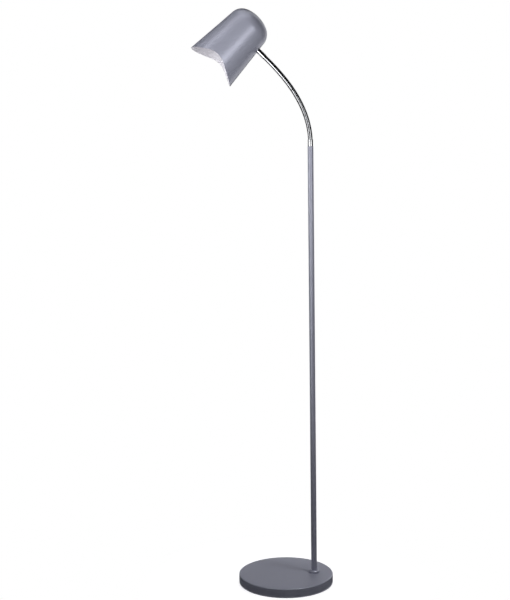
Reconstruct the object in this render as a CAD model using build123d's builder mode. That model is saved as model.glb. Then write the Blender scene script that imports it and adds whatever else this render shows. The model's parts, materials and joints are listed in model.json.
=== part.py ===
from build123d import *
import os
from math import cos, radians, sin, sqrt, tan

# Gooseneck reading floor lamp, in millimetres, with +Z up.
# The origin is the centre of the base's underside, on the floor. The pole stands at +X,
# the gooseneck leans to -X and carries a domed shade that hangs mouth down.
os.makedirs("parts", exist_ok=True)

# ---- base: sheet-steel cover over a cast-iron weight, closed by a screwed plate and a felt pad
base_d = 250.0
base_h = 24.3
cover_wall = 1.2
cover_edge_r = 2.5
skirt_lift = 0.6
weight_t = 12.0
weight_gap = 1.5
boss_d = 14.0
boss_inset = 37.0
boss_count = 3
boss_first_deg = 30.0
plate_t = 1.0
plate_gap = 0.8
pad_t = 1.5
pad_inset = 6.0
screw_d = 4.0
screw_bite = 6.0
screw_tip_gap = 1.0
screw_head_d = 7.5
screw_head_h = 1.3
screw_fit = 0.05
pad_hole_gap = 0.6
cord_notch_w = 16.0
cord_notch_depth = 12.0

# ---- cord inlet in the back of the cover's skirt
inlet_z = 9.0
inlet_bore_d = 6.2
inlet_hole_d = 9.0
inlet_flange_d = 12.6
inlet_flange_t = 1.6
inlet_fit = 0.05
inlet_seat_gap = 0.25

# ---- pole, its foot collar and the stack that clamps it to the base
pole_inset = 49.5
pole_d = 15.0
pole_wall = 1.0
pole_len = 1129.8
collar_d = 30.0
collar_top_d = 18.0
collar_h = 6.0
collar_lip = 1.5
collar_fit = 0.05
insert_len = 18.0
bush_len = 16.0
press_gap = 0.03
nipple_d = 10.0
nipple_bore = 7.0
nipple_bite = 15.0
nipple_fit = 0.05
cover_hole_gap = 0.25
weight_hole_gap = 0.6
washer_d = 24.0
washer_t = 1.5
lock_washer_d = 18.0
lock_washer_t = 1.0
lock_teeth = 10
lock_notch_r = 0.9
nut_flats = 14.0
nut_t = 5.0
nipple_proud = 0.5

# ---- gooseneck: short ribbed segments, each turning on the nose of the one before it
neck_d = 12.4
neck_groove = 0.5
neck_bore = 5.2
segment_pitch = 19.47
pivot_count = 13
ribs_per_segment = 3
first_pivot_out = 1.9
head_lean = 45.2
lean_taper = 0.63
nose_r = 4.85
nose_gap = 0.3
pivot_gap = 1.7
mouth_cone_deg = 50.0
ferrule_d = 14.0
ferrule_fit = 0.05
ferrule_edge = 0.6
lower_ferrule_len = 18.5
lower_socket_depth = 12.5
upper_ferrule_len = 24.0
upper_socket_depth = 13.0
ferrule_trim = 1.0
last_segment_out = 11.9
spigot_len = 12.0

# ---- shade: spun dome and cone with a mouth cut to a rounded V seen from the side
shade_wall = 1.0
shade_cap_r = 87.4
shade_shoulder_r = 36.7
shade_cone_r = 52.9
shade_taper_deg = 5.5
shade_len = 177.0
mouth_flank_deg = 62.5
mouth_round_r = 53.0
mouth_low = 147.2
neck_entry = 61.0
shade_hole_gap = 0.3
seat_gap = 0.05

# ---- holder bracket, its nut stack and the lamp holder inside the shade
bracket_t = 1.5
bracket_w = 14.0
bracket_foot = 11.0
bracket_arm = 33.0
bracket_reach = 13.0
bracket_bend_r = 5.0
bracket_seat = 0.15
head_washer_d = 18.0
head_washer_t = 1.2
head_nut_t = 4.0
holder_d = 39.0
holder_neck_d = 18.0
holder_cap_len = 9.5
holder_cap_wall = 2.0
holder_cap_rim = 3.0
holder_skirt_len = 30.0
holder_wall = 1.6
holder_lip = 1.0
holder_nut_t = 3.0
insert_disc_t = 5.0
thread_sleeve_bore = 27.2
thread_sleeve_wall = 1.6
thread_sleeve_len = 20.0
contact_t = 0.5
contact_w = 5.0

# ---- bulb
bulb_thread_d = 26.4
bulb_thread_len = 23.0
bulb_contact_d = 9.0
bulb_contact_h = 2.0
bulb_insulator_d = 11.0
bulb_cap_slope = 6.6
bulb_collar_len = 14.0
bulb_globe_d = 45.0
bulb_len = 74.0
bulb_wall = 1.0

# ---- worked out from the dimensions above
base_r = base_d / 2
pole_x = base_r - pole_inset
pole_r = pole_d / 2
pole_bore_r = pole_r - pole_wall
cover_in_r = base_r - cover_wall
weight_top = base_h - cover_wall
weight_bottom = weight_top - weight_t
plate_bottom = pad_t
plate_top = pad_t + plate_t
washer_bottom = weight_bottom - washer_t
lock_bottom = washer_bottom - lock_washer_t
nut_bottom = lock_bottom - nut_t
nipple_r = nipple_d / 2
pole_top = base_h + pole_len
neck_r = neck_d / 2
groove_r = neck_r - neck_groove
mouth_r = nose_r + nose_gap
lower_ferrule_top = pole_top + lower_ferrule_len
first_pivot_z = lower_ferrule_top + first_pivot_out
spigot_r = nipple_r - nipple_fit
pole_axis = Axis((pole_x, 0, 0), (0, 0, 1))
screw_points = PolarLocations(base_r - boss_inset, boss_count, boss_first_deg)
# the grommet's inner flange stands clear of the skirt's curve
inlet_inner = sqrt(cover_in_r**2 - (inlet_flange_d / 2) ** 2) - inlet_seat_gap


def pole_plane(z):
    return Plane((pole_x, 0, z))


# ================================================================ base
with BuildPart() as base_cover:
    with BuildSketch(Plane.XY.offset(skirt_lift)):
        Circle(base_r)
    extrude(amount=base_h - skirt_lift)
    fillet(base_cover.edges().group_by(Axis.Z)[-1], cover_edge_r)
    offset(amount=-cover_wall, openings=base_cover.faces().sort_by(Axis.Z)[0])
    with BuildSketch(pole_plane(weight_top)):
        Circle(nipple_r + cover_hole_gap)
    extrude(amount=cover_wall, mode=Mode.SUBTRACT)
    with BuildSketch(Plane((0, base_r, inlet_z), x_dir=(1, 0, 0), z_dir=(0, -1, 0))):
        Circle(inlet_hole_d / 2)
    extrude(amount=base_r - inlet_inner, mode=Mode.SUBTRACT)
base_cover.part.label = "base_cover"
export_step(base_cover.part, "parts/base_cover.step")

# Cast disc hung under the cover's top, with three bosses for the bottom plate and a notch at
# the back for the cord.
with BuildPart() as base_weight:
    with BuildSketch(Plane.XY.offset(weight_bottom)):
        Circle(cover_in_r - weight_gap)
        with Locations((0, cover_in_r - cord_notch_depth / 2)):
            Rectangle(cord_notch_w, cord_notch_depth, mode=Mode.SUBTRACT)
        with Locations((pole_x, 0)):
            Circle(nipple_r + weight_hole_gap, mode=Mode.SUBTRACT)
    extrude(amount=weight_t)
    with BuildSketch(Plane.XY.offset(plate_top)):
        with screw_points:
            Circle(boss_d / 2)
    extrude(amount=weight_bottom - plate_top)
    with BuildSketch(Plane.XY.offset(plate_top)):
        with screw_points:
            Circle(screw_d / 2 + screw_fit)
    extrude(amount=screw_bite + screw_tip_gap, mode=Mode.SUBTRACT)
base_weight.part.label = "base_weight"
export_step(base_weight.part, "parts/base_weight.step")

with BuildPart() as base_plate:
    with BuildSketch(Plane.XY.offset(plate_bottom)):
        Circle(cover_in_r - plate_gap)
        with screw_points:
            Circle(screw_d / 2 + screw_fit, mode=Mode.SUBTRACT)
    extrude(amount=plate_t)
base_plate.part.label = "base_plate"
export_step(base_plate.part, "parts/base_plate.step")

with BuildPart() as base_pad:
    with BuildSketch(Plane.XY):
        Circle(cover_in_r - plate_gap - pad_inset)
        with screw_points:
            Circle(screw_head_d / 2 + pad_hole_gap, mode=Mode.SUBTRACT)
    extrude(amount=pad_t)
base_pad.part.label = "base_pad"
export_step(base_pad.part, "parts/base_pad.step")

with BuildPart() as base_screws:
    with BuildSketch(Plane.XY.offset(plate_bottom - screw_head_h)):
        with screw_points:
            Circle(screw_head_d / 2)
    extrude(amount=screw_head_h)
    with BuildSketch(Plane.XY.offset(plate_bottom)):
        with screw_points:
            Circle(screw_d / 2)
    extrude(amount=plate_t + screw_bite)
base_screws.part.label = "base_screws"
export_step(base_screws.part, "parts/base_screws.step")

# Rubber bush snapped into the skirt: an outer flange, a neck through the wall, an inner flange.
inlet_axis = Axis((0, base_r, inlet_z), (0, 1, 0))
with BuildPart() as cord_grommet:
    with BuildSketch(Plane((0, 0, inlet_z), x_dir=(0, 1, 0), z_dir=(1, 0, 0))):
        with BuildLine():
            Polyline(
                (inlet_inner - inlet_flange_t, inlet_bore_d / 2),
                (base_r + inlet_flange_t, inlet_bore_d / 2),
                (base_r + inlet_flange_t, inlet_flange_d / 2),
                (base_r, inlet_flange_d / 2),
                (base_r, inlet_hole_d / 2 - inlet_fit),
                (inlet_inner, inlet_hole_d / 2 - inlet_fit),
                (inlet_inner, inlet_flange_d / 2),
                (inlet_inner - inlet_flange_t, inlet_flange_d / 2),
                close=True,
            )
        make_face()
    revolve(axis=inlet_axis)
cord_grommet.part.label = "cord_grommet"
export_step(cord_grommet.part, "parts/cord_grommet.step")

# ================================================================ pole and its clamp
with BuildPart() as pole:
    with BuildSketch(pole_plane(base_h)):
        Circle(pole_r)
        Circle(pole_bore_r, mode=Mode.SUBTRACT)
    extrude(amount=pole_len)
pole.part.label = "pole"
export_step(pole.part, "parts/pole.step")

# Turned ring that slides down the pole and hides the joint with the base.
collar_in = pole_r + collar_fit
with BuildPart() as pole_collar:
    with BuildSketch(Plane((pole_x, 0, base_h), x_dir=(1, 0, 0), z_dir=(0, -1, 0))):
        with BuildLine():
            Polyline(
                (collar_top_d / 2, collar_h),
                (collar_in, collar_h),
                (collar_in, 0),
                (collar_d / 2, 0),
                (collar_d / 2, collar_lip),
            )
            TangentArc((collar_d / 2, collar_lip), (collar_top_d / 2, collar_h), tangent=(0, 1))
        make_face()
    revolve(axis=pole_axis)
pole_collar.part.label = "pole_collar"
export_step(pole_collar.part, "parts/pole_collar.step")


def pole_sleeve(z, length, outer_r, inner_r):
    with BuildPart() as sleeve:
        with BuildSketch(pole_plane(z)):
            Circle(outer_r)
            Circle(inner_r, mode=Mode.SUBTRACT)
        extrude(amount=length)
    return sleeve


pole_foot_insert = pole_sleeve(base_h, insert_len, pole_bore_r - press_gap, nipple_r + nipple_fit)
pole_foot_insert.part.label = "pole_foot_insert"
export_step(pole_foot_insert.part, "parts/pole_foot_insert.step")

nipple_bottom = nut_bottom - nipple_proud
nipple_len = base_h + nipple_bite - nipple_bottom
base_nipple = pole_sleeve(nipple_bottom, nipple_len, nipple_r, nipple_bore / 2)
base_nipple.part.label = "base_nipple"
export_step(base_nipple.part, "parts/base_nipple.step")

base_washer = pole_sleeve(washer_bottom, washer_t, washer_d / 2, nipple_r + nipple_fit)
base_washer.part.label = "base_washer"
export_step(base_washer.part, "parts/base_washer.step")

# Toothed washer that bites into the nut and the flat washer.
with BuildPart() as base_lock_washer:
    with BuildSketch(pole_plane(lock_bottom)):
        Circle(lock_washer_d / 2)
        Circle(nipple_r + nipple_fit, mode=Mode.SUBTRACT)
        with PolarLocations(lock_washer_d / 2, lock_teeth):
            RegularPolygon(lock_notch_r, 3, mode=Mode.SUBTRACT)
    extrude(amount=lock_washer_t)
base_lock_washer.part.label = "base_lock_washer"
export_step(base_lock_washer.part, "parts/base_lock_washer.step")

with BuildPart() as base_nut:
    with BuildSketch(pole_plane(nut_bottom)):
        RegularPolygon(nut_flats / 2, 6, major_radius=False)
        Circle(nipple_r + nipple_fit, mode=Mode.SUBTRACT)
    extrude(amount=nut_t)
base_nut.part.label = "base_nut"
export_step(base_nut.part, "parts/base_nut.step")

pole_top_bush = pole_sleeve(pole_top - bush_len, bush_len, pole_bore_r - press_gap, nipple_r)
pole_top_bush.part.label = "pole_top_bush"
export_step(pole_top_bush.part, "parts/pole_top_bush.step")


# ================================================================ gooseneck
# The neck leans a little more at every pivot, most at the first and least at the last.
def lean_at(k):
    return head_lean / pivot_count * (1 + lean_taper * (1 - 2 * k / (pivot_count - 1)))


def along(lean):
    return Vector(-sin(radians(lean)), 0, cos(radians(lean)))


def across(lean):
    return Vector(cos(radians(lean)), 0, sin(radians(lean)))


def section(origin, lean):
    # side-view plane: x is the radius away from the axis, y runs up along the axis
    return Plane(origin, x_dir=across(lean), z_dir=(0, -1, 0))


leans = [0.0]
pivots = [Vector(pole_x, 0, first_pivot_z)]
for k in range(pivot_count):
    leans.append(leans[-1] + lean_at(k))
    if k < pivot_count - 1:
        pivots.append(pivots[-1] + along(leans[-1]) * segment_pitch)


def rib_points(start, end):
    # crests and grooves from one groove to another, evenly spaced
    ribs = max(1, round((end - start) / segment_pitch * ribs_per_segment))
    step = (end - start) / ribs
    points = [(groove_r, start)]
    for rib in range(ribs):
        points += [(neck_r, start + (rib + 0.5) * step), (groove_r, start + (rib + 1) * step)]
    return points


def nose_points(pivot_y):
    # the nose is a cone whose two corners lie on a ball about the next pivot
    bore_r = neck_bore / 2
    return [
        (sqrt(nose_r**2 - pivot_gap**2), pivot_y - pivot_gap),
        (bore_r, pivot_y + sqrt(nose_r**2 - bore_r**2)),
    ]


def mouth_points():
    # the mouth's walls touch a slightly larger ball about this segment's own pivot
    cone = radians(mouth_cone_deg)
    bore_r = neck_bore / 2
    top = (mouth_r - bore_r * cos(cone)) / sin(cone)
    return [(bore_r, top), (mouth_r, mouth_r * tan(cone / 2)), (mouth_r, 0)]


def turned(origin, lean, points):
    with BuildPart() as piece:
        with BuildSketch(section(origin, lean)):
            with BuildLine():
                Polyline(*points, close=True)
            make_face()
        revolve(axis=Axis(origin, along(lean)))
    return piece


# First segment: its plain tail is crimped in the lower ferrule.
tail_low = lower_ferrule_top - lower_socket_depth - first_pivot_z
first_outline = [(neck_bore / 2, tail_low), (neck_r, tail_low), (neck_r, -pivot_gap)]
segment = turned(pivots[0], 0, first_outline + nose_points(0))
segment.part.label = "gooseneck_segment_01"
export_step(segment.part, "parts/gooseneck_segment_01.step")

for k in range(1, pivot_count):
    outline = rib_points(0, segment_pitch - pivot_gap) + nose_points(segment_pitch)
    segment = turned(pivots[k - 1], leans[k], outline + mouth_points())
    segment.part.label = f"gooseneck_segment_{k + 1:02d}"
    export_step(segment.part, f"parts/gooseneck_segment_{k + 1:02d}.step")

# Last segment: ribbed up to the upper ferrule, with a plain tail crimped inside it.
tail_high = last_segment_out + upper_socket_depth
last_outline = rib_points(0, last_segment_out) + [
    (neck_r, last_segment_out),
    (neck_r, tail_high),
    (neck_bore / 2, tail_high),
]
segment = turned(pivots[-1], leans[-1], last_outline + mouth_points())
segment.part.label = f"gooseneck_segment_{pivot_count + 1:02d}"
export_step(segment.part, f"parts/gooseneck_segment_{pivot_count + 1:02d}.step")

# ================================================================ ferrules and shade
# Chromed ferrule screwed into the pole's top bush.
ferrule_r = ferrule_d / 2
ferrule_socket_r = neck_r + ferrule_fit
lower_ferrule = turned(
    Vector(pole_x, 0, pole_top),
    0,
    [
        (nipple_bore / 2, -spigot_len),
        (spigot_r, -spigot_len),
        (spigot_r, 0),
        (ferrule_r, 0),
        (ferrule_r, lower_ferrule_len - ferrule_edge),
        (ferrule_r - ferrule_edge, lower_ferrule_len),
        (ferrule_socket_r, lower_ferrule_len),
        (ferrule_socket_r, lower_ferrule_len - lower_socket_depth),
        (nipple_bore / 2, lower_ferrule_len - lower_socket_depth),
    ],
)
lower_ferrule.part.label = "lower_ferrule"
export_step(lower_ferrule.part, "parts/lower_ferrule.step")

# The shade's axis is square to the end of the gooseneck, and the neck enters its underside.
taper = tan(radians(shade_taper_deg))
entry_r = shade_cone_r + neck_entry * taper
neck_reach = last_segment_out + upper_ferrule_len + entry_r
head_angle = head_lean + 90
axis_point = pivots[-1] + along(head_lean) * neck_reach
apex = axis_point - along(head_angle) * neck_entry
head_axis = Axis(apex, along(head_angle))
# side view of the head: x runs up and to the left across the axis, y from dome to mouth
head_side = Plane(apex, x_dir=along(head_lean), z_dir=(0, -1, 0))
neck_side = section(pivots[-1], head_lean)


def head_plane(s):
    return Plane(apex + along(head_angle) * s, x_dir=along(head_lean), z_dir=along(head_angle))


def cone_r(s):
    return shade_cone_r + s * taper


# Where the cap's ball meets the cone, before the shoulder is rounded.
corner_b = shade_cap_r - shade_cone_r * taper
corner_s = (corner_b - sqrt(corner_b**2 - (1 + taper**2) * shade_cone_r**2)) / (1 + taper**2)
shade_rough_len = shade_len + 2 * shade_wall
with BuildPart() as shade:
    with BuildSketch(head_side) as shade_half:
        with BuildLine():
            RadiusArc((0, 0), (cone_r(corner_s), corner_s), -shade_cap_r)
            Polyline(
                (cone_r(corner_s), corner_s),
                (cone_r(shade_rough_len), shade_rough_len),
                (0, shade_rough_len),
                (0, 0),
            )
        make_face()
        shoulder = shade_half.vertices().sort_by_distance((cone_r(corner_s), corner_s, 0))
        fillet(shoulder[0], shade_shoulder_r)
    revolve(axis=head_axis)
    mouth_face = shade.faces().filter_by(GeomType.PLANE).sort_by(head_axis)[-1]
    offset(amount=-shade_wall, openings=mouth_face)
    # the mouth is one cut seen from the side: two straight flanks and a round bottom
    flank_rise = shade_rough_len / tan(radians(mouth_flank_deg))
    flank_meet = mouth_low + mouth_round_r * (1 - 1 / sin(radians(mouth_flank_deg)))
    with BuildSketch(head_side) as mouth_cut:
        with BuildLine():
            Polyline(
                (0, flank_meet),
                (shade_rough_len, flank_meet + flank_rise),
                (-shade_rough_len, flank_meet + flank_rise),
                close=True,
            )
        make_face()
        fillet(mouth_cut.vertices().sort_by(Axis.Y)[0], mouth_round_r)
    extrude(amount=shade_len, both=True, mode=Mode.SUBTRACT)
    with BuildSketch(Plane(axis_point, x_dir=(0, 1, 0), z_dir=-along(head_lean))):
        Circle(spigot_r + shade_hole_gap)
    extrude(amount=entry_r + ferrule_r, mode=Mode.SUBTRACT)
shade.part.label = "shade"
export_step(shade.part, "parts/shade.step")

# Chromed ferrule whose end is cut to the shade's cone; its thread goes on through the wall.
ferrule_start = last_segment_out
ferrule_end = last_segment_out + upper_ferrule_len
spigot_end = ferrule_end + spigot_len
cut_start = neck_entry - ferrule_d
cut_end = neck_entry + ferrule_d
with BuildPart() as upper_ferrule:
    with BuildSketch(neck_side):
        with BuildLine():
            Polyline(
                (nipple_bore / 2, ferrule_start + upper_socket_depth),
                (ferrule_socket_r, ferrule_start + upper_socket_depth),
                (ferrule_socket_r, ferrule_start),
                (ferrule_r - ferrule_edge, ferrule_start),
                (ferrule_r, ferrule_start + ferrule_edge),
                (ferrule_r, ferrule_end + ferrule_trim),
                (nipple_bore / 2, ferrule_end + ferrule_trim),
                close=True,
            )
        make_face()
    revolve(axis=Axis(pivots[-1], along(head_lean)))
    with BuildSketch(head_side):
        with BuildLine():
            Polyline(
                (0, cut_start),
                (cone_r(cut_start) + seat_gap, cut_start),
                (cone_r(cut_end) + seat_gap, cut_end),
                (0, cut_end),
                close=True,
            )
        make_face()
    revolve(axis=head_axis, mode=Mode.SUBTRACT)
    spigot_root = ferrule_end - ferrule_r
    with BuildSketch(neck_side):
        with BuildLine():
            Polyline(
                (nipple_bore / 2, spigot_root),
                (spigot_r, spigot_root),
                (spigot_r, spigot_end),
                (nipple_bore / 2, spigot_end),
                close=True,
            )
        make_face()
    revolve(axis=Axis(pivots[-1], along(head_lean)))
upper_ferrule.part.label = "upper_ferrule"
export_step(upper_ferrule.part, "parts/upper_ferrule.step")

# Bent strip: its foot lies along the shade's inner wall, its arm crosses to the axis.
# The strip is flat, so its edges meet the round wall before its middle does.
wall_across = shade_wall / cos(radians(shade_taper_deg))
arm_in_r = cone_r(bracket_arm) - wall_across
bracket_lift = arm_in_r - sqrt(arm_in_r**2 - (bracket_w / 2) ** 2) + bracket_seat
wall_in_x = -(entry_r - wall_across - bracket_lift)


def foot_x(s):
    return wall_in_x - (s - neck_entry) * taper


with BuildPart() as holder_bracket:
    with BuildSketch(head_side):
        with BuildLine():
            FilletPolyline(
                (foot_x(neck_entry + bracket_foot), neck_entry + bracket_foot),
                (foot_x(bracket_arm), bracket_arm),
                (bracket_reach, bracket_arm),
                radius=bracket_bend_r,
            )
            offset(amount=bracket_t, side=Side.LEFT, closed=True, kind=Kind.INTERSECTION)
        make_face()
    extrude(amount=bracket_w / 2, both=True)
    with BuildSketch(Plane(axis_point, x_dir=(0, 1, 0), z_dir=-along(head_lean))):
        Circle(spigot_r + nipple_fit)
    extrude(amount=entry_r, mode=Mode.SUBTRACT)
    with BuildSketch(head_plane(bracket_arm)):
        Circle(nipple_r + nipple_fit)
    extrude(amount=bracket_t, mode=Mode.SUBTRACT)
holder_bracket.part.label = "holder_bracket"
export_step(holder_bracket.part, "parts/holder_bracket.step")

# Flat washer and hex nut on the ferrule's thread, drawn up against the bracket's foot. The foot
# slopes with the wall, so the washer bears on its high side.
bracket_in_x = foot_x(neck_entry) + bracket_t / cos(radians(shade_taper_deg))
washer_face_x = bracket_in_x + head_washer_d / 2 * taper + seat_gap


def neck_plane(x):
    # square to the neck's line, inside the shade; x is measured from the shade's axis
    return Plane(axis_point + along(head_lean) * x, x_dir=(0, 1, 0), z_dir=along(head_lean))


with BuildPart() as neck_washer:
    with BuildSketch(neck_plane(washer_face_x)):
        Circle(head_washer_d / 2)
        Circle(nipple_r + nipple_fit, mode=Mode.SUBTRACT)
    extrude(amount=head_washer_t)
neck_washer.part.label = "neck_washer"
export_step(neck_washer.part, "parts/neck_washer.step")

with BuildPart() as neck_nut:
    with BuildSketch(neck_plane(washer_face_x + head_washer_t)):
        RegularPolygon(nut_flats / 2, 6, major_radius=False)
        Circle(nipple_r + nipple_fit, mode=Mode.SUBTRACT)
    extrude(amount=head_nut_t)
neck_nut.part.label = "neck_nut"
export_step(neck_nut.part, "parts/neck_nut.step")

# ================================================================ lamp holder
holder_s = bracket_arm + bracket_t
holder_r = holder_d / 2
skirt_s = holder_s + holder_cap_len
skirt_end = skirt_s + holder_skirt_len
stub_start = bracket_arm - holder_nut_t - nipple_proud
skirt_in_r = holder_r - holder_wall


def head_turned(points):
    # turned about the shade's axis; each point is (radius, distance from the dome's top)
    with BuildPart() as piece:
        with BuildSketch(head_side):
            with BuildLine():
                Polyline(*points, close=True)
            make_face()
        revolve(axis=head_axis)
    return piece


# Rear cap with a hollow threaded stub that goes back through the bracket's arm.
holder_cap = head_turned(
    [
        (nipple_bore / 2, stub_start),
        (nipple_r, stub_start),
        (nipple_r, holder_s),
        (holder_neck_d / 2, holder_s),
        (holder_r, skirt_s - holder_cap_rim),
        (holder_r, skirt_s),
        (skirt_in_r, skirt_s),
        (skirt_in_r, skirt_s - holder_cap_rim),
        (holder_neck_d / 2, holder_s + holder_cap_wall),
        (nipple_bore / 2, holder_s + holder_cap_wall),
    ]
)
holder_cap.part.label = "holder_cap"
export_step(holder_cap.part, "parts/holder_cap.step")

with BuildPart() as holder_nut:
    with BuildSketch(head_plane(bracket_arm - holder_nut_t)):
        RegularPolygon(nut_flats / 2, 6, major_radius=False)
        Circle(nipple_r + nipple_fit, mode=Mode.SUBTRACT)
    extrude(amount=holder_nut_t)
holder_nut.part.label = "holder_nut"
export_step(holder_nut.part, "parts/holder_nut.step")

# Outer skirt, screwed onto the cap and turned in at its front lip.
sleeve_in_r = thread_sleeve_bore / 2
sleeve_out_r = sleeve_in_r + thread_sleeve_wall
holder_skirt = head_turned(
    [
        (holder_r, skirt_s),
        (holder_r, skirt_end - holder_lip),
        (holder_r - holder_lip, skirt_end),
        (sleeve_in_r + thread_sleeve_wall / 2, skirt_end),
        (sleeve_in_r + thread_sleeve_wall / 2, skirt_end - holder_wall),
        (skirt_in_r, skirt_end - holder_wall),
        (skirt_in_r, skirt_s),
    ]
)
holder_skirt.part.label = "holder_skirt"
export_step(holder_skirt.part, "parts/holder_skirt.step")

# Ceramic contact block with the bulb's thread sleeve standing on its front.
block_s = skirt_end - holder_wall - seat_gap - thread_sleeve_len - insert_disc_t
block_front = block_s + insert_disc_t
holder_block = head_turned(
    [
        (0, block_s),
        (skirt_in_r - seat_gap, block_s),
        (skirt_in_r - seat_gap, block_front),
        (sleeve_out_r, block_front),
        (sleeve_out_r, block_front + thread_sleeve_len),
        (sleeve_in_r, block_front + thread_sleeve_len),
        (sleeve_in_r, block_front),
        (0, block_front),
    ]
)
holder_block.part.label = "holder_block"
export_step(holder_block.part, "parts/holder_block.step")

# Brass strips: one tongue under the bulb's tip and one up the sleeve beside its thread.
bulb_seat = block_front + contact_t + seat_gap
with BuildPart() as holder_contacts:
    with BuildSketch(head_plane(block_front)):
        Rectangle(sleeve_in_r, contact_w)
        with Locations((sleeve_in_r - contact_t, 0)):
            Rectangle(contact_t, contact_w)
    extrude(amount=contact_t)
holder_contacts.part.label = "holder_contacts"
export_step(holder_contacts.part, "parts/holder_contacts.step")

# ================================================================ bulb
thread_r = bulb_thread_d / 2
shell_s = bulb_seat + bulb_contact_h
collar_s = shell_s + bulb_thread_len
globe_r = bulb_globe_d / 2
bulb_tip = bulb_seat + bulb_len
globe_s = bulb_tip - globe_r
globe_base_s = collar_s + bulb_collar_len
globe_base_r = sqrt(globe_r**2 - (globe_s - globe_base_s) ** 2)

bulb_contact = head_turned(
    [
        (0, bulb_seat),
        (bulb_contact_d / 2, bulb_seat),
        (bulb_contact_d / 2, shell_s),
        (0, shell_s),
    ]
)
bulb_contact.part.label = "bulb_contact"
export_step(bulb_contact.part, "parts/bulb_contact.step")

bulb_cap = head_turned(
    [
        (0, shell_s),
        (bulb_insulator_d / 2, shell_s),
        (thread_r, shell_s + bulb_cap_slope),
        (thread_r, collar_s),
        (thread_r - bulb_wall, collar_s),
        (thread_r - bulb_wall, shell_s + bulb_cap_slope),
        (0, shell_s + bulb_wall),
    ]
)
bulb_cap.part.label = "bulb_cap"
export_step(bulb_cap.part, "parts/bulb_cap.step")

bulb_collar = head_turned(
    [
        (thread_r - bulb_wall, collar_s),
        (thread_r + bulb_wall, collar_s),
        (globe_base_r, globe_base_s),
        (globe_base_r - bulb_wall, globe_base_s),
    ]
)
bulb_collar.part.label = "bulb_collar"
export_step(bulb_collar.part, "parts/bulb_collar.step")

with BuildPart() as bulb_globe:
    with BuildSketch(head_side):
        with BuildLine():
            outer_base = (globe_base_r, globe_base_s)
            inner_r = globe_r - bulb_wall
            inner_base = (sqrt(inner_r**2 - (globe_s - globe_base_s) ** 2), globe_base_s)
            ThreePointArc(outer_base, (globe_r, globe_s), (0, bulb_tip))
            Line((0, bulb_tip), (0, bulb_tip - bulb_wall))
            ThreePointArc((0, bulb_tip - bulb_wall), (inner_r, globe_s), inner_base)
            Line(inner_base, outer_base)
        make_face()
    revolve(axis=head_axis)
bulb_globe.part.label = "bulb_globe"
export_step(bulb_globe.part, "parts/bulb_globe.step")
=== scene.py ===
import bmesh
import bpy
import json
from math import cos, degrees, pi, radians, sin, sqrt, tan
from mathutils import Matrix, Vector


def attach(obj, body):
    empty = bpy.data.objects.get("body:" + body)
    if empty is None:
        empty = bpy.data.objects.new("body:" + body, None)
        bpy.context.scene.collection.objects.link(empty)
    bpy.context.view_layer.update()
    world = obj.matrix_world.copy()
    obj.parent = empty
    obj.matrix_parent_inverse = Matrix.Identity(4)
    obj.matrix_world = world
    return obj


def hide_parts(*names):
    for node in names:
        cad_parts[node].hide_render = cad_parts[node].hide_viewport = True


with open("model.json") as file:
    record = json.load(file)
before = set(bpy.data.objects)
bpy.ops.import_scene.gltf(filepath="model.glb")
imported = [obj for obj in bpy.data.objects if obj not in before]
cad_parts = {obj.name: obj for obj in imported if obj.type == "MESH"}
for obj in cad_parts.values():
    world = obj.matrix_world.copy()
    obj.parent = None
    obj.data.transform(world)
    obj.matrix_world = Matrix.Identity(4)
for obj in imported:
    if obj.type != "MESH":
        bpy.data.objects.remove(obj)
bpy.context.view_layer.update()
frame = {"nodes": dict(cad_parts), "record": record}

# ---- Base cover: a pressed sheet-steel cap with a rolled top edge, sprayed a grey lilac.
# The pressing leaves the edge soft, and the pole's threaded tube goes through its top.
# Its mesh is turned finer than the model's solid, from the same sizes.


def linear(code):
    """An sRGB hex colour as the linear RGBA that a shader takes."""
    parts = [int(code[i : i + 2], 16) / 255 for i in (1, 3, 5)]
    return [c / 12.92 if c <= 0.04045 else ((c + 0.055) / 1.055) ** 2.4 for c in parts] + [1.0]


def add(tree, kind, sockets=(), **settings):
    """Adds a node; each socket gets a value, or a link where the value is another's output."""
    made = tree.nodes.new(kind)
    for key, value in settings.items():
        setattr(made, key, value)
    for key, value in dict(sockets).items():
        if isinstance(value, bpy.types.NodeSocket):
            tree.links.new(value, made.inputs[key])
        else:
            made.inputs[key].default_value = value
    return made


def finish(name):
    """A new material with its node tree and its Principled shader."""
    material = bpy.data.materials.new(name)
    material.use_nodes = True
    return material, material.node_tree, material.node_tree.nodes["Principled BSDF"]


def formed(name, points, faces, material, smooth=True):
    """A new piece of these points and faces, in this material."""
    mesh = bpy.data.meshes.new(name)
    mesh.from_pydata(points, [], faces)
    mesh.polygons.foreach_set("use_smooth", [smooth] * len(faces))
    mesh.materials.append(material)
    piece = bpy.data.objects.new(name, mesh)
    bpy.context.collection.objects.link(piece)
    return piece


def turned(name, outline, material, turns, place=Matrix(), closed=False):
    """A turned piece: outline is (radius, height) points about the Z axis of place."""
    points, faces = [], []
    for radius, height in outline:
        for i in range(turns):
            a = 2 * pi * i / turns
            points.append(place @ Vector((radius * cos(a), radius * sin(a), height)))
    rows = len(outline)
    for row in range(rows if closed else rows - 1):
        low, high = row * turns, (row + 1) % rows * turns
        for i in range(turns):
            n = (i + 1) % turns
            faces.append((low + i, low + n, high + n, high + i))
    piece = formed(name, points, faces, material)
    work = bmesh.new()
    work.from_mesh(piece.data)
    bmesh.ops.remove_doubles(work, verts=work.verts, dist=1e-7)
    work.to_mesh(piece.data)
    work.free()
    piece.data.set_sharp_from_angle(angle=radians(32))
    return piece


def rounded(centre, radius, first, last, steps):
    """Points of an arc about centre, from the first to the last angle in degrees."""
    turn = [radians(first + (last - first) * i / steps) for i in range(steps + 1)]
    return [(centre[0] + radius * cos(a), centre[1] + radius * sin(a)) for a in turn]


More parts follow.
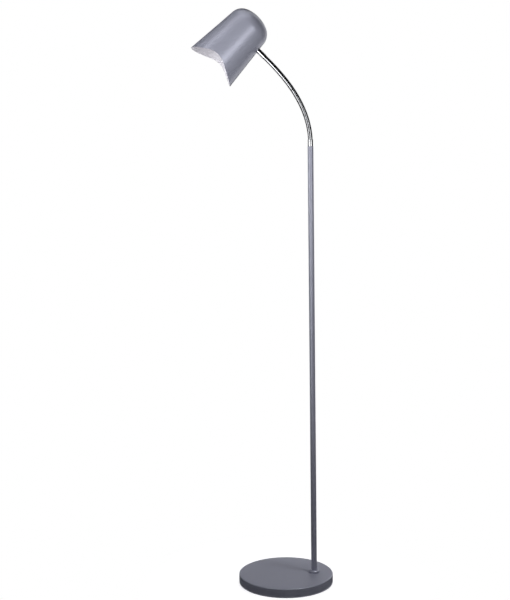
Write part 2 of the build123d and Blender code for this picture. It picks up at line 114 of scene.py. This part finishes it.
# Sprayed and baked metallic lacquer on steel: fine aluminium flake under the binder gives wide,
# soft highlights in the paint's own colour, on a skin with a faint orange peel. The peel is about
# 1.5 mm across, twice the real size, so that it shows at all, over clouds of 110 mm.
paint, tree, shader = finish("sprayed_paint_grey_lilac")
where = add(tree, "ShaderNodeTexCoord").outputs["Object"]
cloud = add(tree, "ShaderNodeTexNoise", {"Vector": where, "Scale": 9, "Detail": 3})
peel = add(tree, "ShaderNodeTexNoise", {"Vector": where, "Scale": 650, "Detail": 2})
mix = {"Factor": cloud.outputs["Fac"], 6: linear("#a1a3b2"), 7: linear("#a8aab9")}
tone = add(tree, "ShaderNodeMix", mix, data_type="RGBA")
gloss = {"Value": peel.outputs["Fac"], "To Min": 0.28, "To Max": 0.38}
gloss = add(tree, "ShaderNodeMapRange", gloss)
bump = {"Height": peel.outputs["Fac"], "Strength": 0.06, "Distance": 0.0002}
bump = add(tree, "ShaderNodeBump", bump)
tree.links.new(tone.outputs[2], shader.inputs["Base Color"])
tree.links.new(gloss.outputs["Result"], shader.inputs["Roughness"])
tree.links.new(bump.outputs["Normal"], shader.inputs["Normal"])
shader.inputs["IOR"].default_value = 1.5
shader.inputs["Metallic"].default_value = 0.25

base_r, base_h, base_wall, base_edge = 0.125, 0.0243, 0.0012, 0.0025
base_lift, base_foot = 0.0006, 0.0003
inlet_low, inlet_high, inlet_half, inlet_y = 0.0045, 0.0135, 0.004, 0.12
edge_centre = (base_r - base_edge, base_h - base_edge)
top_rings = (0, 0.03, 0.06, 0.09)
outline = [(r, base_h) for r in top_rings]
outline += rounded(edge_centre, base_edge, 90, 0, 10)
outline += [(base_r, inlet_high), (base_r, inlet_low), (base_r, base_lift + base_foot)]
outline += [(base_r - base_foot, base_lift), (base_r - base_wall, base_lift)]
outline += [(base_r - base_wall, inlet_low), (base_r - base_wall, inlet_high)]
outline += rounded(edge_centre, base_edge - base_wall, 0, 90, 6)
outline += [(0, base_h - base_wall)]
cover = turned("base_cover_skin", outline, paint, turns=192)
# The cord's inlet is cut out of the skirt's back, through both skins.
work = bmesh.new()
work.from_mesh(cover.data)
inlet = []
for face in work.faces:
    spot = face.calc_center_median()
    if spot.y > inlet_y and abs(spot.x) < inlet_half and inlet_low < spot.z < inlet_high:
        inlet.append(face)
bmesh.ops.delete(work, geom=inlet, context="FACES")
work.to_mesh(cover.data)
work.free()
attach(cover, "stand")
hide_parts("base_cover")

# ---- Base weight: a grey-iron disc cast in sand, hung under the cover to keep the lamp upright.
# It hardly shows, only past the cord's inlet. Sand leaves a coarse, matt skin: its grain is
# about 0.4 mm and is drawn at 2 mm to show.


def coat(material, *names):
    """Gives this finish to the model's own solids of these names."""
    for name in names:
        frame["nodes"][name].data.materials.clear()
        frame["nodes"][name].data.materials.append(material)


iron, tree, shader = finish("sand_cast_iron")
where = add(tree, "ShaderNodeTexCoord").outputs["Object"]
sand = add(tree, "ShaderNodeTexNoise", {"Vector": where, "Scale": 500, "Detail": 5})
mix = {"Factor": sand.outputs["Fac"], 6: linear("#232426"), 7: linear("#3c3d40")}
tone = add(tree, "ShaderNodeMix", mix, data_type="RGBA")
bump = {"Height": sand.outputs["Fac"], "Strength": 0.5, "Distance": 0.0004}
bump = add(tree, "ShaderNodeBump", bump)
tree.links.new(tone.outputs[2], shader.inputs["Base Color"])
tree.links.new(bump.outputs["Normal"], shader.inputs["Normal"])
shader.inputs["Metallic"].default_value = 0.6
shader.inputs["Roughness"].default_value = 0.75
coat(iron, "base_weight")

# ---- Bottom plate, screws, threaded tube, washers and nuts: mild steel with bright zinc on it.
# Rolling leaves fine lines in the sheet, drawn 0.7 mm apart to show, and the zinc has a faint
# blue-grey cloudiness in spangles 6 mm across.
zinc, tree, shader = finish("zinc_plated_steel")
where = add(tree, "ShaderNodeTexCoord").outputs["Object"]
stretch = add(tree, "ShaderNodeMapping", {"Vector": where, "Scale": (60, 1400, 1400)})
lines = {"Vector": stretch.outputs["Vector"], "Scale": 1, "Detail": 2}
lines = add(tree, "ShaderNodeTexNoise", lines)
spangle = add(tree, "ShaderNodeTexVoronoi", {"Vector": where, "Scale": 160})
mix = {"Factor": spangle.outputs["Distance"], 6: linear("#b9bcc0"), 7: linear("#d4d6d8")}
tone = add(tree, "ShaderNodeMix", mix, data_type="RGBA")
gloss = {"Value": lines.outputs["Fac"], "To Min": 0.25, "To Max": 0.48}
gloss = add(tree, "ShaderNodeMapRange", gloss)
bump = {"Height": lines.outputs["Fac"], "Strength": 0.1, "Distance": 0.0001}
bump = add(tree, "ShaderNodeBump", bump)
tree.links.new(tone.outputs[2], shader.inputs["Base Color"])
tree.links.new(gloss.outputs["Result"], shader.inputs["Roughness"])
tree.links.new(bump.outputs["Normal"], shader.inputs["Normal"])
shader.inputs["Metallic"].default_value = 1.0
coat(zinc, "base_plate", "base_screws", "pole_foot_insert", "base_nipple", "base_washer")
coat(zinc, "base_lock_washer", "base_nut", "pole_top_bush", "holder_bracket")
coat(zinc, "neck_washer", "neck_nut", "holder_nut")

# ---- Felt pad: pressed wool glued under the plate, so that the iron doesn't mark the floor.
# Fibres about 0.3 mm across lie every way; they are drawn at 0.8 mm to show.
felt, tree, shader = finish("pressed_wool_felt")
where = add(tree, "ShaderNodeTexCoord").outputs["Object"]
fibre = add(tree, "ShaderNodeTexNoise", {"Vector": where, "Scale": 1200, "Detail": 4})
mix = {"Factor": fibre.outputs["Fac"], 6: linear("#17181b"), 7: linear("#34353a")}
tone = add(tree, "ShaderNodeMix", mix, data_type="RGBA")
bump = {"Height": fibre.outputs["Fac"], "Strength": 0.8, "Distance": 0.0005}
bump = add(tree, "ShaderNodeBump", bump)
tree.links.new(tone.outputs[2], shader.inputs["Base Color"])
tree.links.new(bump.outputs["Normal"], shader.inputs["Normal"])
shader.inputs["Roughness"].default_value = 0.95
shader.inputs["Sheen Weight"].default_value = 0.3
coat(felt, "base_pad")

# ---- Cord grommet: a black rubber bush snapped into the back of the skirt.
# Moulded rubber is matt, with a slightly dusty bloom in patches of about 3 mm.
rubber, tree, shader = finish("moulded_black_rubber")
where = add(tree, "ShaderNodeTexCoord").outputs["Object"]
bloom = add(tree, "ShaderNodeTexNoise", {"Vector": where, "Scale": 300, "Detail": 3})
mix = {"Factor": bloom.outputs["Fac"], 6: linear("#111112"), 7: linear("#222224")}
tone = add(tree, "ShaderNodeMix", mix, data_type="RGBA")
tree.links.new(tone.outputs[2], shader.inputs["Base Color"])
shader.inputs["Roughness"].default_value = 0.7
coat(rubber, "cord_grommet")

# ---- Foot collar: a turned ring, domed over, that slides down the pole and hides the joint.
# It is sprayed with the pole.
pole_x, pole_r, pole_top = 0.0755, 0.0075, 1.1541
collar_r, collar_top_r, collar_h, collar_lip, collar_gap = 0.015, 0.009, 0.006, 0.0015, 0.00005
pole_line = Matrix.Translation((pole_x, 0, 0))
dome_w, dome_h = collar_r - collar_top_r, collar_h - collar_lip
dome_r = (dome_w**2 + dome_h**2) / dome_w / 2
dome_end = 106
outline = [(pole_r + collar_gap, base_h), (collar_r, base_h)]
outline += rounded((collar_r - dome_r, base_h + collar_lip), dome_r, 0, dome_end, 18)
outline += [(pole_r + collar_gap, base_h + collar_h)]
collar = turned("pole_collar_skin", outline, paint, 96, pole_line, closed=True)
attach(collar, "stand")
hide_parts("pole_collar")

# ---- Pole: one length of welded steel tube, 15 mm across, sprayed like the base.
# Its ends are cut square; the top edge is broken a little under the ferrule.
pole_wall, pole_break, pole_rings = 0.001, 0.0003, 24
outline = [(pole_r - pole_wall, base_h), (pole_r, base_h)]
for i in range(1, pole_rings):
    outline.append((pole_r, base_h + (pole_top - base_h) * i / pole_rings))
outline += [(pole_r, pole_top - pole_break), (pole_r - pole_break, pole_top)]
outline += [(pole_r - pole_wall, pole_top)]
pole = turned("pole_tube", outline, paint, 64, pole_line, closed=True)
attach(pole, "stand")
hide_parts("pole")

# ---- Lower ferrule: brass turned on a lathe and chromed, screwed into the pole's top.
# Chrome is nearly a mirror, a little blue, with a faint haze of fine polishing marks in patches
# of about 4 mm.
chrome, tree, shader = finish("polished_chrome_plate")
where = add(tree, "ShaderNodeTexCoord").outputs["Object"]
haze = add(tree, "ShaderNodeTexNoise", {"Vector": where, "Scale": 240, "Detail": 4})
mix = {"Factor": haze.outputs["Fac"], 6: linear("#dcdde0"), 7: linear("#e9eaec")}
tone = add(tree, "ShaderNodeMix", mix, data_type="RGBA")
gloss = {"Value": haze.outputs["Fac"], "To Min": 0.05, "To Max": 0.13}
gloss = add(tree, "ShaderNodeMapRange", gloss)
tree.links.new(tone.outputs[2], shader.inputs["Base Color"])
tree.links.new(gloss.outputs["Result"], shader.inputs["Roughness"])
shader.inputs["Metallic"].default_value = 1.0
ferrule_r, ferrule_bore, ferrule_len, ferrule_ring = 0.007, 0.0035, 0.0185, 0.006
ferrule_edge, ferrule_foot = 0.0006, 0.0002
socket_r, socket_depth = 0.00625, 0.0125
top = pole_top + ferrule_len
outline = [(ferrule_bore, pole_top), (ferrule_r - ferrule_foot, pole_top)]
outline += [(ferrule_r, pole_top + ferrule_foot), (ferrule_r, pole_top + ferrule_ring)]
outline += [(ferrule_r, top - ferrule_edge)]
outline += rounded((ferrule_r - ferrule_edge, top - ferrule_edge), ferrule_edge, 0, 90, 5)
outline += [(socket_r, top), (socket_r, top - socket_depth), (ferrule_bore, top - socket_depth)]
ferrule = turned("lower_ferrule_skin", outline, chrome, 64, pole_line, closed=True)
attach(ferrule, "stand")
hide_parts("lower_ferrule")

# ---- Gooseneck: steel wire wound into a tight tube and chromed; each turn makes a low, round rib.
# Each piece rides on one body, from the middle of one joint's bend to the middle of the next. A
# groove as wide as the bend needs lies between two pieces, and a ball nose closes it at any pose.

# Chromed wire: the grooves between the turns swallow half of the light and are too fine to show,
# so the wire's chrome is painted darker, as painted groove shade spread over crest and groove
# alike.
wire_chrome_painted_groove_shade, tree, shader = finish("chromed_wire_painted_groove_shade")
where = add(tree, "ShaderNodeTexCoord").outputs["Object"]
haze = add(tree, "ShaderNodeTexNoise", {"Vector": where, "Scale": 240, "Detail": 4})
# Both colours are darkened by painted groove shade; the haze mixes them at random.
mix = {"Factor": haze.outputs["Fac"], 6: linear("#aeafb2"), 7: linear("#bcbdc0")}
tone = add(tree, "ShaderNodeMix", mix, data_type="RGBA")
gloss = {"Value": haze.outputs["Fac"], "To Min": 0.08, "To Max": 0.16}
gloss = add(tree, "ShaderNodeMapRange", gloss)
tree.links.new(tone.outputs[2], shader.inputs["Base Color"])
tree.links.new(gloss.outputs["Result"], shader.inputs["Roughness"])
shader.inputs["Metallic"].default_value = 1.0

neck_r, rib_depth, rib_pitch = 0.0062, 0.00008, 0.0028
neck_turns, rows_per_rib = 32, 8
ball_r, ball_rings, groove = 0.006, (-0.0026, -0.0012, 0, 0.001), 0.0015
head_lean = radians(45.2)
last_run, neck_entry_depth = 0.0119, 0.004
neck_joints = frame["record"]["behaviour"]["joints"]
pivots = [Vector(joint["pos_m"]) for joint in neck_joints]
runs = [(b - a).normalized() for a, b in zip(pivots, pivots[1:])]
runs = [Vector((0, 0, 1))] + runs + [Vector((-sin(head_lean), 0, cos(head_lean)))]
half = (pivots[1] - pivots[0]).length / 2
# The centre line turns past each pivot on an arc that touches the run before and the run after.
arcs, wound = [], 0.0
for pivot, before, after in zip(pivots, runs, runs[1:]):
    start = pivot - before * half
    lean = before.angle(after)
    arc_r = half / tan(lean / 2)
    inward = after - before * after.dot(before)
    arcs.append((wound, arc_r * lean, arc_r, start, start + inward.normalized() * arc_r, before))
    wound += arc_r * lean
neck_end = wound + (last_run + neck_entry_depth) - half
seams = [0.0] + [arc[0] + arc[1] / 2 for arc in arcs] + [neck_end]


def on_neck(run):
    """The centre line's point and direction, so far along the neck."""
    reached = [arc for arc in arcs if arc[0] <= max(run, 0)]
    begun, arc_len, arc_r, start, centre, before = reached[-1]
    turn = min(max(run - begun, 0), arc_len) / arc_r
    out = start - centre
    ahead = before * cos(turn) - out.normalized() * sin(turn)
    spot = centre + out * cos(turn) + before * arc_r * sin(turn)
    return spot + ahead * (run - begun - turn * arc_r), ahead


for k, (low, high) in enumerate(zip(seams, seams[1:])):
    first = low + groove / 2 if k else low
    last = high - groove / 2 if k < len(pivots) else high
    rows = round((high - low) / rib_pitch * rows_per_rib)
    nose = [(low + z, sqrt(ball_r**2 - z**2), 0) for z in ball_rings] if k else []
    skin = [(first + (last - first) * row / rows, neck_r, rib_depth) for row in range(rows + 1)]
    points, faces = [], []
    for run, r, depth in nose + skin:
        spot, ahead = on_neck(run)
        side = ahead.cross(Vector((0, 1, 0)))
        for i in range(neck_turns):
            a = 2 * pi * i / neck_turns
            u = (run / rib_pitch - i / neck_turns) % 1
            ring = side * cos(a) + Vector((0, 1, 0)) * sin(a)
            points.append(spot + ring * (r - depth * (1 + cos(2 * pi * u)) / 2))
    for row in range(len(nose + skin) - 1):
        # nothing joins the nose's last ring to the skin's first
        for i in range(neck_turns if row != len(nose) - 1 else 0):
            n = (i + 1) % neck_turns
            this, that = row * neck_turns, (row + 1) * neck_turns
            faces.append((this + i, this + n, that + n, that + i))
    winding = formed(f"gooseneck_winding_{k + 1:02d}", points, faces, wire_chrome_painted_groove_shade)
    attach(winding, neck_joints[k - 1]["child"] if k else "stand")
    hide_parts(f"gooseneck_segment_{k + 1:02d}")

# ---- Upper ferrule: turned and chromed like the lower one, its end milled to the shade's curve.
# The solid already has that saddle, so it keeps its shape and takes the chrome.
coat(chrome, "upper_ferrule")

# ---- Shade: a disc of sheet steel spun over a former into a dome and a cone, then trimmed aslant.
# Outside it has the stand's paint; inside it is enamelled white to throw the light forward.

# White stove enamel: a satin white that fills the inside with light. Its orange peel is drawn
# 1.7 mm across, twice the real size.
enamel, tree, shader = finish("white_stove_enamel")
where = add(tree, "ShaderNodeTexCoord").outputs["Object"]
peel = add(tree, "ShaderNodeTexNoise", {"Vector": where, "Scale": 600, "Detail": 2})
mix = {"Factor": peel.outputs["Fac"], 6: linear("#e9e7ee"), 7: linear("#f2f0f5")}
tone = add(tree, "ShaderNodeMix", mix, data_type="RGBA")
bump = {"Height": peel.outputs["Fac"], "Strength": 0.05, "Distance": 0.0002}
bump = add(tree, "ShaderNodeBump", bump)
tree.links.new(tone.outputs[2], shader.inputs["Base Color"])
tree.links.new(bump.outputs["Normal"], shader.inputs["Normal"])
shader.inputs["Roughness"].default_value = 0.45

shade_wall, cap_r, shoulder_r, cone_start, slope_deg = 0.001, 0.0874, 0.0367, 0.0529, 5.5
slope, taper = radians(slope_deg), tan(radians(slope_deg))
dome_rows, shoulder_rows, cone_rows, shade_turns = 24, 20, 40, 160
mouth_flank, mouth_round, mouth_low = radians(62.5), 0.053, 0.1472
upper_ferrule_len, neck_entry = 0.024, 0.061
neck_reach = last_run + upper_ferrule_len + cone_start + neck_entry * taper
across_dir = runs[-1]
head_dir = Vector((-sin(head_lean + pi / 2), 0, cos(head_lean + pi / 2)))
apex = pivots[-1] + across_dir * neck_reach - head_dir * neck_entry
head_line = Matrix((across_dir, head_dir.cross(across_dir), head_dir)).transposed().to_4x4()
head_line.translation = apex


def shade_profile(inset):
    """The dome, the shoulder and the cone's first point, as (radius, depth), inset by the wall."""
    ball, bend = cap_r - inset, shoulder_r - inset
    # the shoulder's centre is bend inside the cone and inside the ball
    edge = (cone_start - inset / cos(slope)) - bend / cos(slope)
    a, b, c = 1 + taper**2, 2 * (edge * taper - cap_r), cap_r**2 + edge**2 - (ball - bend) ** 2
    depth = (-b - sqrt(b * b - 4 * a * c)) / (2 * a)
    centre = (edge + depth * taper, depth)
    reach = Vector((centre[0], centre[1] - cap_r)).normalized()
    first = degrees(reach.angle_signed(Vector((1, 0))))
    dome = []
    for i in range(dome_rows + 1):
        turn = (90 + first) * i / dome_rows
        dome.append((ball * sin(radians(turn)), cap_r - ball * cos(radians(turn))))
    return dome + rounded(centre, bend, first, -slope_deg, shoulder_rows)[1:]


def mouth_depth(x):
    """How far down the shade is trimmed, at a point x across its axis."""
    if abs(x) < mouth_round * cos(mouth_flank):
        return mouth_low + mouth_round - sqrt(mouth_round**2 - x**2)
    return mouth_low + mouth_round * (1 - 1 / sin(mouth_flank)) + abs(x) / tan(mouth_flank)


points, faces, rims = [], [], []
for inset in (0.0, shade_wall):
    profile = shade_profile(inset)
    cone_r = cone_start - inset / cos(slope)
    last_depth = profile[-1][1]
    ends = []
    for i in range(shade_turns):
        # the trim's depth and the cone's width there settle each other in a few rounds
        depth = mouth_low
        for _ in range(12):
            depth = mouth_depth((cone_r + depth * taper) * cos(2 * pi * i / shade_turns))
        ends.append(depth)
    skin = [[point] * shade_turns for point in profile[1:]]
    for row in range(1, cone_rows + 1):
        depths = [last_depth + (end - last_depth) * row / cone_rows for end in ends]
        skin.append([(cone_r + depth * taper, depth) for depth in depths])
    first_point = len(points)
    points.append((0, 0, inset))
    for ring in skin:
        for i, (radius, depth) in enumerate(ring):
            a = 2 * pi * i / shade_turns
            points.append((radius * cos(a), radius * sin(a), depth))
    for i in range(shade_turns):
        n = (i + 1) % shade_turns
        faces.append((first_point, first_point + 1 + n, first_point + 1 + i))
        for row in range(len(skin) - 1):
            low = first_point + 1 + row * shade_turns
            high = low + shade_turns
            faces.append((low + i, low + n, high + n, high + i))
    rims.append(first_point + 1 + (len(skin) - 1) * shade_turns)
skin_faces = len(faces) // 2
faces[skin_faces:] = [face[::-1] for face in faces[skin_faces:]]
outer_rim, inner_rim = rims
for i in range(shade_turns):
    n = (i + 1) % shade_turns
    faces.append((outer_rim + i, outer_rim + n, inner_rim + n, inner_rim + i))
shade = formed("shade_spinning", [head_line @ Vector(point) for point in points], faces, paint)
shade.data.materials.append(enamel)
for face in range(skin_faces, 2 * skin_faces):
    shade.data.polygons[face].material_index = 1
shade.data.set_sharp_from_angle(angle=radians(40))
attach(shade, "head")
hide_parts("shade")

# ---- Lamp holder: black phenolic cap and skirt, pressed in a hot mould, round a ceramic block.
# Phenolic is dark and satin, with a faint mottle of its filler in specks of about 2 mm.
phenolic, tree, shader = finish("moulded_phenolic_black")
where = add(tree, "ShaderNodeTexCoord").outputs["Object"]
mottle = add(tree, "ShaderNodeTexNoise", {"Vector": where, "Scale": 420, "Detail": 3})
mix = {"Factor": mottle.outputs["Fac"], 6: linear("#121213"), 7: linear("#1f1f21")}
tone = add(tree, "ShaderNodeMix", mix, data_type="RGBA")
tree.links.new(tone.outputs[2], shader.inputs["Base Color"])
shader.inputs["Roughness"].default_value = 0.38
coat(phenolic, "holder_cap", "holder_skirt")

# Contact block of unglazed steatite: off-white and dry, with speckles of about 1 mm.
steatite, tree, shader = finish("unglazed_steatite")
where = add(tree, "ShaderNodeTexCoord").outputs["Object"]
speckle = add(tree, "ShaderNodeTexNoise", {"Vector": where, "Scale": 900, "Detail": 4})
mix = {"Factor": speckle.outputs["Fac"], 6: linear("#d9d4c8"), 7: linear("#ebe8df")}
tone = add(tree, "ShaderNodeMix", mix, data_type="RGBA")
tree.links.new(tone.outputs[2], shader.inputs["Base Color"])
shader.inputs["Roughness"].default_value = 0.6
coat(steatite, "holder_block")

# Contacts of sprung brass strip, and the bulb's tip: warm and bright, with a light tarnish in
# patches of about 3 mm.
brass, tree, shader = finish("rolled_brass")
where = add(tree, "ShaderNodeTexCoord").outputs["Object"]
tarnish = add(tree, "ShaderNodeTexNoise", {"Vector": where, "Scale": 350, "Detail": 3})
mix = {"Factor": tarnish.outputs["Fac"], 6: linear("#b08d4a"), 7: linear("#d8b871")}
tone = add(tree, "ShaderNodeMix", mix, data_type="RGBA")
tree.links.new(tone.outputs[2], shader.inputs["Base Color"])
shader.inputs["Metallic"].default_value = 1.0
shader.inputs["Roughness"].default_value = 0.3
coat(brass, "holder_contacts", "bulb_contact")

# ---- Bulb: a small globe lamp with a rolled aluminium screw cap, a white collar and an opal globe.
# The globe is frosted, so it looks soft and evenly white. The frost is drawn at 1.2 mm to show.
opal, tree, shader = finish("frosted_opal_polycarbonate")
where = add(tree, "ShaderNodeTexCoord").outputs["Object"]
frost = add(tree, "ShaderNodeTexNoise", {"Vector": where, "Scale": 800, "Detail": 2})
mix = {"Factor": frost.outputs["Fac"], 6: linear("#efeee9"), 7: linear("#f8f7f3")}
tone = add(tree, "ShaderNodeMix", mix, data_type="RGBA")
tree.links.new(tone.outputs[2], shader.inputs["Base Color"])
shader.inputs["Roughness"].default_value = 0.32
shader.inputs["Subsurface Weight"].default_value = 0.2
shader.inputs["Subsurface Scale"].default_value = 0.004
coat(opal, "bulb_globe")

# Collar of moulded white plastic: a plain satin white, its grain drawn at 1.4 mm to show.
collar_white, tree, shader = finish("moulded_white_polycarbonate")
where = add(tree, "ShaderNodeTexCoord").outputs["Object"]
grain = add(tree, "ShaderNodeTexNoise", {"Vector": where, "Scale": 700, "Detail": 2})
mix = {"Factor": grain.outputs["Fac"], 6: linear("#dedede"), 7: linear("#e8e8e6")}
tone = add(tree, "ShaderNodeMix", mix, data_type="RGBA")
tree.links.new(tone.outputs[2], shader.inputs["Base Color"])
shader.inputs["Roughness"].default_value = 0.5
coat(collar_white, "bulb_collar")

# Screw cap of rolled aluminium: a soft grey shine, with faint rolling marks 2 mm across.
aluminium, tree, shader = finish("rolled_aluminium")
where = add(tree, "ShaderNodeTexCoord").outputs["Object"]
rolled = add(tree, "ShaderNodeTexNoise", {"Vector": where, "Scale": 500, "Detail": 2})
mix = {"Factor": rolled.outputs["Fac"], 6: linear("#c2c3c5"), 7: linear("#d6d7d8")}
tone = add(tree, "ShaderNodeMix", mix, data_type="RGBA")
tree.links.new(tone.outputs[2], shader.inputs["Base Color"])
shader.inputs["Metallic"].default_value = 1.0
shader.inputs["Roughness"].default_value = 0.28
coat(aluminium, "bulb_cap")

# ---- Studio: a pale paper floor that runs off to white, soft lamps, and dark flags at the sides.
# The floor takes the object's shadow close by. The flags stand only in the reflections: they give
# chrome its dark bands, as black cards do in a studio, and the white lies behind the object.

# Matt paper with a slight tooth, in waves of 25 mm. It glows up to the background's white away
# from the object, so that only the object's shadow darkens it.
floor_paper, tree, shader = finish("white_studio_paper")
shader.inputs["Base Color"].default_value = linear("#b4b4b6")
shader.inputs["Roughness"].default_value = 0.9
where = add(tree, "ShaderNodeNewGeometry").outputs["Position"]
grain = add(tree, "ShaderNodeTexNoise", {"Vector": where, "Scale": 40, "Detail": 2})
bump = add(tree, "ShaderNodeBump", {"Height": grain.outputs["Fac"], "Strength": 0.02})
tree.links.new(bump.outputs["Normal"], shader.inputs["Normal"])
reach = add(tree, "ShaderNodeVectorMath", {0: where}, operation="LENGTH")
fade = {"Value": reach.outputs["Value"], "From Min": 0.16, "From Max": 0.40}
fade = add(tree, "ShaderNodeMapRange", fade, interpolation_type="SMOOTHSTEP")
white = add(tree, "ShaderNodeEmission", {"Color": (1, 1, 1, 1), "Strength": 1.0})
glow = add(tree, "ShaderNodeEmission", {"Color": (1, 1, 1, 1), "Strength": 0.85})
lit = add(tree, "ShaderNodeAddShader", {0: shader.outputs[0], 1: glow.outputs[0]})
away = {"Fac": fade.outputs["Result"], 1: lit.outputs[0], 2: white.outputs[0]}
away = add(tree, "ShaderNodeMixShader", away)
seen = add(tree, "ShaderNodeLightPath")
direct = {0: seen.outputs["Is Camera Ray"], 1: seen.outputs["Is Glossy Ray"]}
direct = add(tree, "ShaderNodeMath", direct, operation="MAXIMUM")
direct = {0: direct.outputs[0], 1: seen.outputs["Is Transmission Ray"]}
direct = add(tree, "ShaderNodeMath", direct, operation="MAXIMUM")
pick = {"Fac": direct.outputs[0], 1: shader.outputs[0], 2: away.outputs[0]}
pick = add(tree, "ShaderNodeMixShader", pick)
tree.links.new(pick.outputs[0], tree.nodes["Material Output"].inputs["Surface"])
floor_r = 9
points = [(-floor_r, -floor_r, 0), (floor_r, -floor_r, 0), (floor_r, floor_r, 0)]
points += [(-floor_r, floor_r, 0)]
floor = formed("floor", points, [(0, 1, 2, 3)], floor_paper, smooth=False)

# Black flag cloth: it gives back next to no light. Its weave is drawn 11 mm wide.
flag_cloth, tree, shader = finish("black_flag_cloth")
where = add(tree, "ShaderNodeTexCoord").outputs["Object"]
weave = add(tree, "ShaderNodeTexNoise", {"Vector": where, "Scale": 90, "Detail": 2})
mix = {"Factor": weave.outputs["Fac"], 6: linear("#19191b"), 7: linear("#1f1f21")}
tone = add(tree, "ShaderNodeMix", mix, data_type="RGBA")
tree.links.new(tone.outputs[2], shader.inputs["Base Color"])
shader.inputs["Roughness"].default_value = 1.0
# Flags stand on the left, behind the camera and on the right, and a narrower one at the back.
flag_line = [(-2.2, 2.6), (-2.2, -3.4), (2.2, -3.4), (2.2, 1.6)]
flag_low, flag_top = 0.05, 6.0
back_left, back_right, back_low, back_y = -2.2, 0.9, 0.45, 2.6
points = [(x, y, z) for x, y in flag_line for z in (flag_low, flag_top)]
points += [(back_left, back_y, back_low), (back_right, back_y, back_low)]
points += [(back_right, back_y, flag_top), (back_left, back_y, flag_top)]
faces = [(0, 2, 3, 1), (2, 4, 5, 3), (4, 6, 7, 5), (8, 9, 10, 11)]
# The card on the floor goes round the base in a ring.
card_steps, card_gap, card_r, card_z = 48, 0.003, 2.1, 0.001
card = len(points)
for i in range(card_steps):
    low, high = card + 2 * i, card + 2 * ((i + 1) % card_steps)
    faces.append((low, high, high + 1, low + 1))
    a = 2 * pi * i / card_steps
    points += [(r * cos(a), r * sin(a), card_z) for r in (base_r + card_gap, card_r)]
flags = formed("flags", points, faces, flag_cloth, smooth=False)
flags.visible_camera = False
flags.visible_diffuse = False
flags.visible_transmission = False
flags.visible_shadow = False

world = bpy.data.worlds.new("studio")
world.use_nodes = True
tree = world.node_tree
tree.nodes.clear()
seen = add(tree, "ShaderNodeLightPath")
direct = {0: seen.outputs["Is Camera Ray"], 1: seen.outputs["Is Glossy Ray"]}
direct = add(tree, "ShaderNodeMath", direct, operation="MAXIMUM")
direct = {0: direct.outputs[0], 1: seen.outputs["Is Transmission Ray"]}
direct = add(tree, "ShaderNodeMath", direct, operation="MAXIMUM")
dim = add(tree, "ShaderNodeBackground", {"Color": linear("#dcdce6"), "Strength": 0.15})
white = add(tree, "ShaderNodeBackground", {"Color": (1, 1, 1, 1), "Strength": 1.0})
pick = {"Fac": direct.outputs[0], 1: dim.outputs[0], 2: white.outputs[0]}
pick = add(tree, "ShaderNodeMixShader", pick)
add(tree, "ShaderNodeOutputWorld", {"Surface": pick.outputs[0]})
bpy.context.scene.world = world


def softbox(name, spot, target, size, watts, beam, glints=True):
    """A soft lamp at spot that faces target, in metres and watts, its grid's beam in degrees."""
    data = bpy.data.lights.new(name, "AREA")
    data.shape = "RECTANGLE"
    (data.size, data.size_y), data.energy, data.spread = size, watts, radians(beam)
    lamp = bpy.data.objects.new(name, data)
    lamp.location = spot
    lamp.rotation_euler = (Vector(target) - Vector(spot)).to_track_quat("-Z", "Y").to_euler()
    lamp.visible_camera = False
    lamp.visible_glossy = glints
    bpy.context.collection.objects.link(lamp)


# The first five glint in paint and chrome; the rest are fills, which light without a glint.
shade_middle = (-0.08, 0, 1.35)
softbox("low left", (-0.8, -1.3, 0.6), (-0.05, 0, 1.5), (0.75, 0.75), 1.9, 76)
softbox("near right", (0.56, -1.32, 1.2), (-0.08, 0, 1.45), (0.65, 0.65), 1.65, 110)
softbox("left strip", (-1.18, -0.72, 1.5), (0.07, 0, 1.4), (0.6, 1.0), 1.7, 90)
softbox("base right", (1.0, -0.6, 2.9), (0.02, 0, 0), (0.4, 0.4), 0.42, 26)
softbox("base left", (-0.9, -0.6, 2.9), (-0.02, 0, 0), (0.4, 0.4), 0.16, 26)
softbox("side left", (-1.3, -0.5, 1.5), shade_middle, (0.25, 1.0), 0.42, 70, glints=False)
softbox("high left", (-1.3, -0.9, 1.75), shade_middle, (0.5, 1.0), 0.15, 60, glints=False)
softbox("under left", (-0.9, -1.3, 0.7), shade_middle, (0.5, 0.5), 0.4, 50, glints=False)
softbox("front right", (0.3, -1.8, 1.5), (-0.02, 0, 1.4), (0.5, 0.8), 0.4, 45, glints=False)
softbox("low right", (1.2, -0.9, 0.5), (0, 0, 0.8), (0.4, 0.8), 0.4, 120, glints=False)
softbox("behind", (0.3, 2.2, 0.9), (0, 0, 1.0), (1.2, 1.4), 28, 150, glints=False)

# ---- Camera at the photograph's place, about 2.5 m in front and 0.92 m up, tilted a little down.
# Its angles are in radians, and its focal length is in pixels of a frame 600 high.
focal_px, frame_px, sensor_mm = 968.911, 600, 36
yaw, pitch, roll = 0.0148, 0.0644, 0.0123
camera_data = bpy.data.cameras.new("camera")
camera_data.sensor_width = sensor_mm
camera_data.lens = focal_px * sensor_mm / frame_px
ahead = Vector((sin(yaw), cos(yaw), 0))
right = Vector((cos(yaw), -sin(yaw), 0))
up = Vector((0, 0, 1))
look = ahead * cos(pitch) - up * sin(pitch)
rise = up * cos(pitch) + ahead * sin(pitch)
x_axis = right * cos(roll) - rise * sin(roll)
y_axis = right * sin(roll) + rise * cos(roll)
camera = bpy.data.objects.new("camera", camera_data)
camera.matrix_world = Matrix((x_axis, y_axis, -look)).transposed().to_4x4()
camera.location = (-0.1115, -2.540, 0.9195)
bpy.context.collection.objects.link(camera)
bpy.context.scene.camera = camera
bpy.context.scene.view_settings.view_transform = "Standard"
